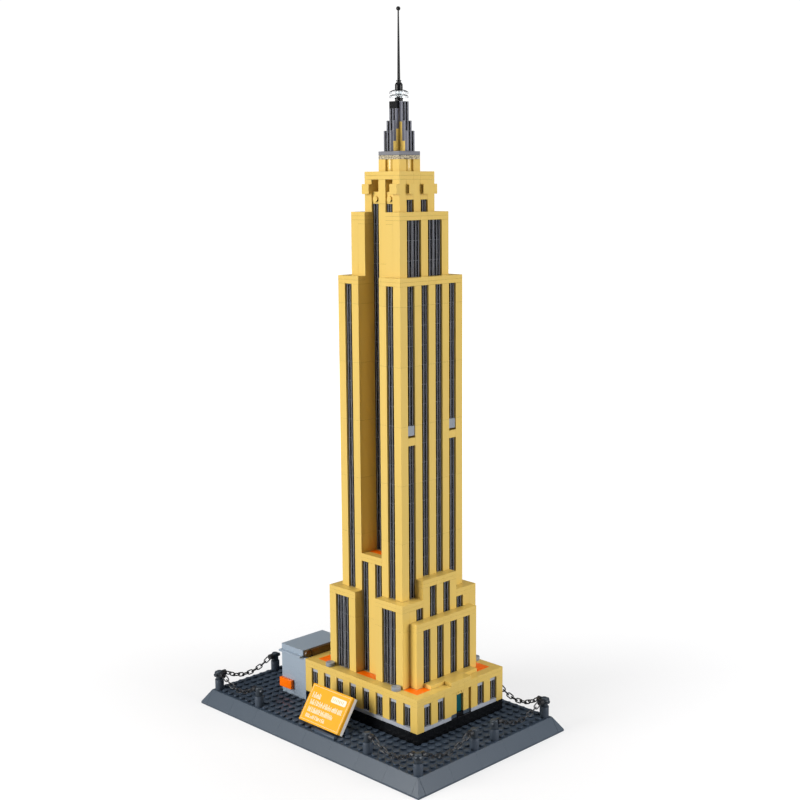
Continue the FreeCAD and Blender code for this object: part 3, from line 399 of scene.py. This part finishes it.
def lay_over(made, mask, color):
    """Lays a second colour, fixed or from a node, over a plastic's own where the mask is 1."""
    nodes, link = made.node_tree.nodes, made.node_tree.links.new
    shader = nodes["Principled BSDF"]
    below = shader.inputs["Base Color"].links[0].from_socket
    blend = nodes.new("ShaderNodeMix")
    blend.data_type = "RGBA"
    if isinstance(color, tuple):
        blend.inputs["B"].default_value = (*color, 1)
    else:
        link(color, blend.inputs["B"])
    link(mask, blend.inputs["Factor"])
    link(below, blend.inputs["A"])
    link(blend.outputs["Result"], shader.inputs["Base Color"])


def height_mask(made, operation, level):
    """A mask that is 1 above or below a level."""
    nodes, link = made.node_tree.nodes, made.node_tree.links.new
    where = nodes.new("ShaderNodeTexCoord")
    height = nodes.new("ShaderNodeSeparateXYZ")
    mask = nodes.new("ShaderNodeMath")
    mask.operation = operation
    mask.inputs[1].default_value = level
    link(where.outputs["Object"], height.inputs[0])
    link(height.outputs["Z"], mask.inputs[0])
    return mask.outputs[0]


tan = plastic("tan_abs", (0.67, 0.465, 0.112), gloss=0.22, batch=0.03)
for node in ("podium_piers", "podium_rim", "lower_tier_piers", "lower_tier_caps", "shaft_piers", "shaft_caps",
             "upper_piers", "upper_caps", "crown_piers", "crown_caps", "crown_blocks", "crown_stud_bricks"):
    # bed also marks each course's lower rounded edge for painted shade.
    moulded(node, tan, edge=0.06 * MM, bed=0.26 * MM, slack=0.07 * MM)


# ---- hidden bricks inside the podium and the tower ----
# Plain bricks of the same plastic that carry the walls, with the plates that the windows clip to.
# Only their edges show, through the gaps beside the windows, and their tan is darker than the walls' as
# painted shade for those gaps.

# Painted shade: a darker copy of the walls' tan.
core_tan_painted_shade = plastic("tan_abs_inside_painted_shade", (0.50, 0.35, 0.11), gloss=0.35)
for node in ("tower_core", "podium_inner_bricks"):
    frame["nodes"][node].data.materials.clear()
    frame["nodes"][node].data.materials.append(core_tan_painted_shade)
backing = plastic("black_backing", (0.012, 0.012, 0.014), gloss=0.3)
frame["nodes"]["backing_plates"].data.materials.clear()
frame["nodes"]["backing_plates"].data.materials.append(backing)


# ---- windows ----
# Black grille tiles of glossy ABS stood on end, three ribs to a tile, clipped sideways to plates inside
# the wall. The grooves are painted near black as painted shade, and the rounded edges of the ribs and tile
# ends are painted pale grey as painted highlights.

RIB_EDGE = 0.17 * MM
# The grooves' colour: painted shade, darker than the ribs' own black.
GROOVE_PAINTED_SHADE = (0.0015, 0.0015, 0.002)
TILE_SIDE = 0.9             # shares of a tile's half width: its sides
FLOOR_FROM, FLOOR_TO = 0.22, 0.6    # and the floors of its two grooves


def grille_plastic(name, rib, rim, gloss):
    """Glossy plastic with painted shade in the grooves and painted highlights on the rounded edges of the
    ribs and at the tiles' ends.
    """
    made = plastic(name, rib, gloss=gloss, batch=0.25, specular=0.12)
    for layer, color in (("groove_shade", GROOVE_PAINTED_SHADE), ("rim", rim)):
        mask = made.node_tree.nodes.new("ShaderNodeAttribute")
        mask.attribute_name = layer
        lay_over(made, mask.outputs["Fac"], color)
    return made


def mark_grille(piece):
    """Marks each tile's groove walls and floors for painted shade, and the narrow rounded edges of its ribs
    and ends for painted highlights, weaker on level edges.
    """
    bm = bmesh.new()
    bm.from_mesh(piece.data)
    groove_shade = bm.faces.layers.float.new("groove_shade")
    rim = bm.faces.layers.float.new("rim")
    for island in separate_bricks(bm):
        corners = [v.co for face in island for v in face.verts]
        low = [min(c[i] for c in corners) for i in range(3)]
        high = [max(c[i] for c in corners) for i in range(3)]
        across = 0 if high[0] - low[0] > high[1] - low[1] else 1
        centre = (low[across] + high[across]) / 2
        reach = (high[across] - low[across]) / 2
        for face in island:
            spot = face.calc_center_median()
            side = abs(spot[across] - centre) / reach
            straight = max(abs(n) for n in face.normal) > 0.99
            wall = abs(face.normal[across]) > 0.99 and side < TILE_SIDE
            floor = abs(face.normal[1 - across]) > 0.99 and FLOOR_FROM < side < FLOOR_TO
            face[groove_shade] = 1.0 if wall or floor else 0.0
            # Painted highlight on rounded edges, at 0.35 strength on the level edges at the tiles' ends.
            face[rim] = 0.0 if straight else 0.35 if abs(face.normal.z) > 0.2 else 1.0
    bm.to_mesh(piece.data)
    bm.free()


# The rib colour is the plastic's own; the pale grey is a painted highlight on the rounded edges.
grille = grille_plastic("grille_abs", (0.017, 0.020, 0.029), (0.58, 0.59, 0.63), gloss=0.3)
for node in ("podium_grilles", "lower_tier_grilles", "shaft_grilles", "upper_grilles"):
    mark_grille(moulded(node, grille, edge=RIB_EDGE))


# ---- studded base ----
# Four studded plates on hidden bricks, with a border of smooth sloped bricks clipped round them.
# All are satin ABS in two greys; the studs are moulded with the plates.

PITCH = 8.0 * MM
STUD_R = 2.45 * MM
STUD_H = 1.7 * MM
STUD_SIDES = 16

border_grey = plastic("border_abs", (0.052, 0.071, 0.096), gloss=0.34, batch=0.02, relief=0.05, specular=0.4)
deck_grey = plastic("deck_abs", (0.037, 0.054, 0.080), gloss=0.4, batch=0.12, specular=0.3)
moulded("base_border", border_grey, edge=0.06 * MM, slack=0.08 * MM)
moulded("base_corners", border_grey, edge=0.06 * MM)
moulded("base_bricks", deck_grey)


def deck():
    """Deck plates with a rounded stud wherever the design leaves one showing."""
    cad = frame["nodes"]["base_deck"].data
    low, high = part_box("base_deck")
    top = high.z - STUD_H
    left, near = low.x - 0.1 * MM, low.y - 0.1 * MM
    cells = set()
    corners = set()
    for vertex in cad.vertices:
        if vertex.co.z > top + STUD_H / 2:
            cells.add((math.floor((vertex.co.x - left) / PITCH), math.floor((vertex.co.y - near) / PITCH)))
        elif vertex.co.z < low.z + STUD_H / 2:
            corners.add((round(vertex.co.x, 6), round(vertex.co.y, 6)))
    xs = sorted({x for x, y in corners})
    ys = sorted({y for x, y in corners})
    bm = bmesh.new()
    for x0, x1 in zip(xs[::2], xs[1::2]):
        for y0, y1 in zip(ys[::2], ys[1::2]):
            shape = (Matrix.Translation(((x0 + x1) / 2, (y0 + y1) / 2, (low.z + top) / 2))
                     @ Matrix.Diagonal((x1 - x0, y1 - y0, top - low.z, 1)))
            bmesh.ops.create_cube(bm, size=1, matrix=shape)
    bmesh.ops.bevel(bm, geom=list(bm.edges), offset=EDGE, offset_type="OFFSET", segments=2, profile=0.5,
                    affect="EDGES", material=-1)
    for col, row in sorted(cells):
        place = Matrix.Translation((left + (col + 0.5) * PITCH, near + (row + 0.5) * PITCH, top + STUD_H / 2))
        stud = bmesh.ops.create_cone(bm, cap_ends=True, segments=STUD_SIDES, radius1=STUD_R, radius2=STUD_R,
                                     depth=STUD_H, matrix=place)
        rim = {e for v in stud["verts"] if v.co.z > top + STUD_H / 2 for e in v.link_edges
               if all(w.co.z > top + STUD_H / 2 for w in e.verts)}
        bmesh.ops.bevel(bm, geom=list(rim), offset=0.22 * MM, offset_type="OFFSET", segments=2, profile=0.5,
                        affect="EDGES", material=-1)
    for face in bm.faces:
        face.smooth = abs(face.normal.z) < 0.99 and face.calc_area() < 2 * MM * MM
    tint_each_brick(bm, "deck")
    mesh = bpy.data.meshes.new("deck_plates")
    bm.to_mesh(mesh)
    bm.free()
    mesh.materials.append(deck_grey)
    piece = bpy.data.objects.new("deck_plates", mesh)
    scene.collection.objects.link(piece)
    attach(piece, "root")
    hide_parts("base_deck")


deck()


# ---- chain fence ----
# Round bricks with a slimmer, darker piece pushed into each, and a peg through that. The chains are
# moulded in black, and their end sockets turn on the pegs.

POST_FOOT_H = 9.6 * MM

post_grey = plastic("post_abs", (0.040, 0.054, 0.076), gloss=0.35, batch=0.1, specular=0.35)
lay_over(post_grey, height_mask(post_grey, "GREATER_THAN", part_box("chain_posts")[0].z + POST_FOOT_H),
         (0.026, 0.035, 0.047))
moulded("chain_posts", post_grey)
moulded("chain_pegs", post_grey)
chain_black = plastic("chain_plastic", (0.012, 0.013, 0.016), gloss=0.3, batch=0.2, specular=0.5)
for node in sorted(frame["nodes"]):
    if node.startswith("chain_") and node not in ("chain_posts", "chain_pegs"):
        moulded(node, chain_black, edge=0)


# ---- podium trim, roof tiles and entrance ----
# Black plinth bricks, light grey sills and window heads, orange roof tiles and grey round tiles, all
# glossy ABS. The door is a dark teal tile between two tan pillars.

black = plastic("black_abs", (0.0045, 0.005, 0.006), gloss=0.2, batch=0.2, specular=0.25)
light_grey = plastic("light_grey_abs", (0.36, 0.385, 0.43), gloss=0.25)
mid_grey = plastic("grey_abs", (0.24, 0.265, 0.30), gloss=0.25)
orange = plastic("orange_abs", (0.95, 0.165, 0.001), gloss=0.2, specular=0.3)
teal = plastic("teal_abs", (0.004, 0.070, 0.080), gloss=0.12)
moulded("plinth", black)
moulded("podium_sills_and_heads", light_grey)
moulded("podium_roof_tiles", orange)
moulded("rim_round_tiles", mid_grey, edge=0.2 * MM)
moulded("entrance_door", teal)
moulded("entrance_pillars", tan)
moulded("entrance_head", tan, edge=0.08 * MM)
moulded("entrance_steps", border_grey)
moulded("strip_tiles", mid_grey)


# ---- spire ----
# Tan drum and grey plates under a tan core, with sideways grille tiles clipped on four sides in three
# steps. Clear dishes and a black whip antenna push onto the stud at its top.

# Spire grilles: the same painted shade in the grooves and a pale painted highlight on the rounded edges.
spire_grey = grille_plastic("spire_abs", (0.115, 0.119, 0.148), (0.50, 0.51, 0.54), gloss=0.2)


def speckled_plates():
    """Grey plates; the lower one is of a paler, sandy grey with fine dark specks."""
    made = plastic("spire_plate_abs", (0.19, 0.195, 0.22), gloss=0.2, batch=0.05)
    nodes, link = made.node_tree.nodes, made.node_tree.links.new
    low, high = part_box("spire_plates")
    where = nodes.new("ShaderNodeTexCoord")
    specks = nodes.new("ShaderNodeTexNoise")
    specks.inputs["Scale"].default_value = 900
    specks.inputs["Detail"].default_value = 2
    sand = nodes.new("ShaderNodeValToRGB")
    sand.color_ramp.elements[0].position = 0.36
    sand.color_ramp.elements[0].color = (0.10, 0.09, 0.07, 1)
    sand.color_ramp.elements[1].position = 0.56
    sand.color_ramp.elements[1].color = (0.50, 0.44, 0.31, 1)
    link(where.outputs["Object"], specks.inputs["Vector"])
    link(specks.outputs["Fac"], sand.inputs["Fac"])
    lay_over(made, height_mask(made, "LESS_THAN", (low.z + high.z) / 2), sand.outputs["Color"])
    return made


plate_grey = speckled_plates()
moulded("spire_drum", tan)
# bed also marks the plates' lower rounded edges for painted shade.
moulded("spire_plates", plate_grey, bed=0.2 * MM)
moulded("spire_core", tan)
mark_grille(moulded("spire_grilles", spire_grey, edge=0.15 * MM))
moulded("spire_end_pieces", black)
moulded("spire_neck", black)
moulded("antenna", black, edge=0)


def clear_plastic():
    """Water-clear plastic with faint flow marks."""
    made = plastic("clear_abs", (0.93, 0.95, 0.96), gloss=0.02, batch=0.02)
    shader = made.node_tree.nodes["Principled BSDF"]
    shader.inputs["Transmission Weight"].default_value = 1.0
    shader.inputs["IOR"].default_value = 1.5
    return made


clear = clear_plastic()
for node in ("dish_lower", "dish_upper"):
    moulded(node, clear, edge=0)


# ---- annex ----
# Grey walls of single plates below and bricks above, under a slab with a thin ledge. A brown strip
# closes the side over the podium roof, and an orange tile is clipped to the wall.

annex_grey = plastic("annex_abs", (0.275, 0.335, 0.405), gloss=0.3)
brown = plastic("brown_abs", (0.075, 0.042, 0.016), gloss=0.2)
moulded("annex_walls", annex_grey)
moulded("annex_roof", annex_grey)
moulded("annex_trim", brown)
moulded("wall_box", orange, edge=0.25 * MM)


# ---- sign ----
# A glossy orange-yellow tile with pale printing, on a white plate, tilted on a small grey hinge.
# The print is a generic pattern of short strokes, a thin frame and one pale label.

sign_yellow = plastic("sign_abs", (0.76, 0.36, 0.016), gloss=0.2)
sign_white = plastic("white_abs", (0.80, 0.79, 0.77), gloss=0.25)
print_white = plastic("print_ink", (0.86, 0.74, 0.62), gloss=0.35)
moulded("sign_tile", sign_yellow, edge=0.25 * MM)
moulded("sign_plate", sign_white)
for node in ("sign_hinge_leaf", "sign_hinge_pin", "sign_hinge_base"):
    moulded(node, deck_grey, edge=0.1 * MM)


SIGN_W, SIGN_H, SIGN_T = 48.0, 32.0, 3.2    # mm
SIGN_TILT = math.radians(56)
FRAME_IN, FRAME_LINE = 1.5, 0.2             # printed frame, in from the edge
STROKE = 0.6


def sign_print():
    """Rows of short printed strokes, a rounded label with dashes and a thin frame, on the sign's face."""
    low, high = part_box("sign_tile")
    tilt = Matrix.Rotation(-SIGN_TILT, 4, "Y")
    normal = tilt.to_3x3() @ Vector((0, 0, 1))
    foot = Vector((low.x, high.y, low.z + SIGN_T * MM * math.cos(SIGN_TILT)))
    onto_face = Matrix.Translation(foot + normal * 0.02 * MM) @ tilt
    dice = random.Random(7)
    bm = bmesh.new()

    def patch(u0, v0, u1, v1, lift=0.0, ink=0):
        """A printed rectangle, in mm across and up the face."""
        shape = (onto_face @ Matrix.Translation(((v0 + v1) / 2 * MM, -(u0 + u1) / 2 * MM, lift * MM))
                 @ Matrix.Diagonal(((v1 - v0) * MM, (u1 - u0) * MM, 0.03 * MM, 1)))
        made = bmesh.ops.create_cube(bm, size=1, matrix=shape)["verts"]
        for face in {f for v in made for f in v.link_faces}:
            face.material_index = ink
        return made

    rows = ((23.0, 4.4, 13.5, 4.6), (17.0, 5.0, 43.0, 4.3), (10.8, 5.5, 36.0, 4.3), (5.4, 5.7, 28.5, 3.0))
    for v, u0, u1, tall in rows:
        u = u0
        while u < u1:
            height = tall * dice.choice((0.6, 0.85, 1.0, 1.0))
            patch(u, v - tall / 2, u + STROKE, v - tall / 2 + height)
            if dice.random() < 0.45:
                level = v + tall * dice.choice((-0.42, 0.0, 0.36))
                patch(u + 0.5, level, u + 1.2, level + 0.5)
            u += dice.choice((1.15, 1.3, 1.3, 1.9))
    left, right, foot_line, top = FRAME_IN, SIGN_W - FRAME_IN, FRAME_IN, SIGN_H - FRAME_IN
    patch(left, foot_line, right, foot_line + FRAME_LINE)
    patch(left, top - FRAME_LINE, right, top)
    patch(left, foot_line + FRAME_LINE, left + FRAME_LINE, top - FRAME_LINE)
    patch(right - FRAME_LINE, foot_line + FRAME_LINE, right, top - FRAME_LINE)
    label = patch(26.5, 22.2, 44.0, 27.4)
    corners = {e for v in label for e in v.link_edges
               if abs((e.verts[0].co - e.verts[1].co).dot(normal)) > 0.02 * MM}
    bmesh.ops.bevel(bm, geom=list(corners), offset=1.4 * MM, offset_type="OFFSET", segments=6, profile=0.5,
                    affect="EDGES", material=-1)
    for i in range(7):
        start = 28.3 + 2.0 * i
        patch(start, 23.5 + 0.5 * (i % 2), start + 0.5, 26.1, lift=0.03, ink=1)
    mesh = bpy.data.meshes.new("sign_print")
    bm.to_mesh(mesh)
    bm.free()
    mesh.materials.append(print_white)
    mesh.materials.append(sign_yellow)
    piece = bpy.data.objects.new("sign_print", mesh)
    scene.collection.objects.link(piece)
    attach(piece, "sign")


sign_print()
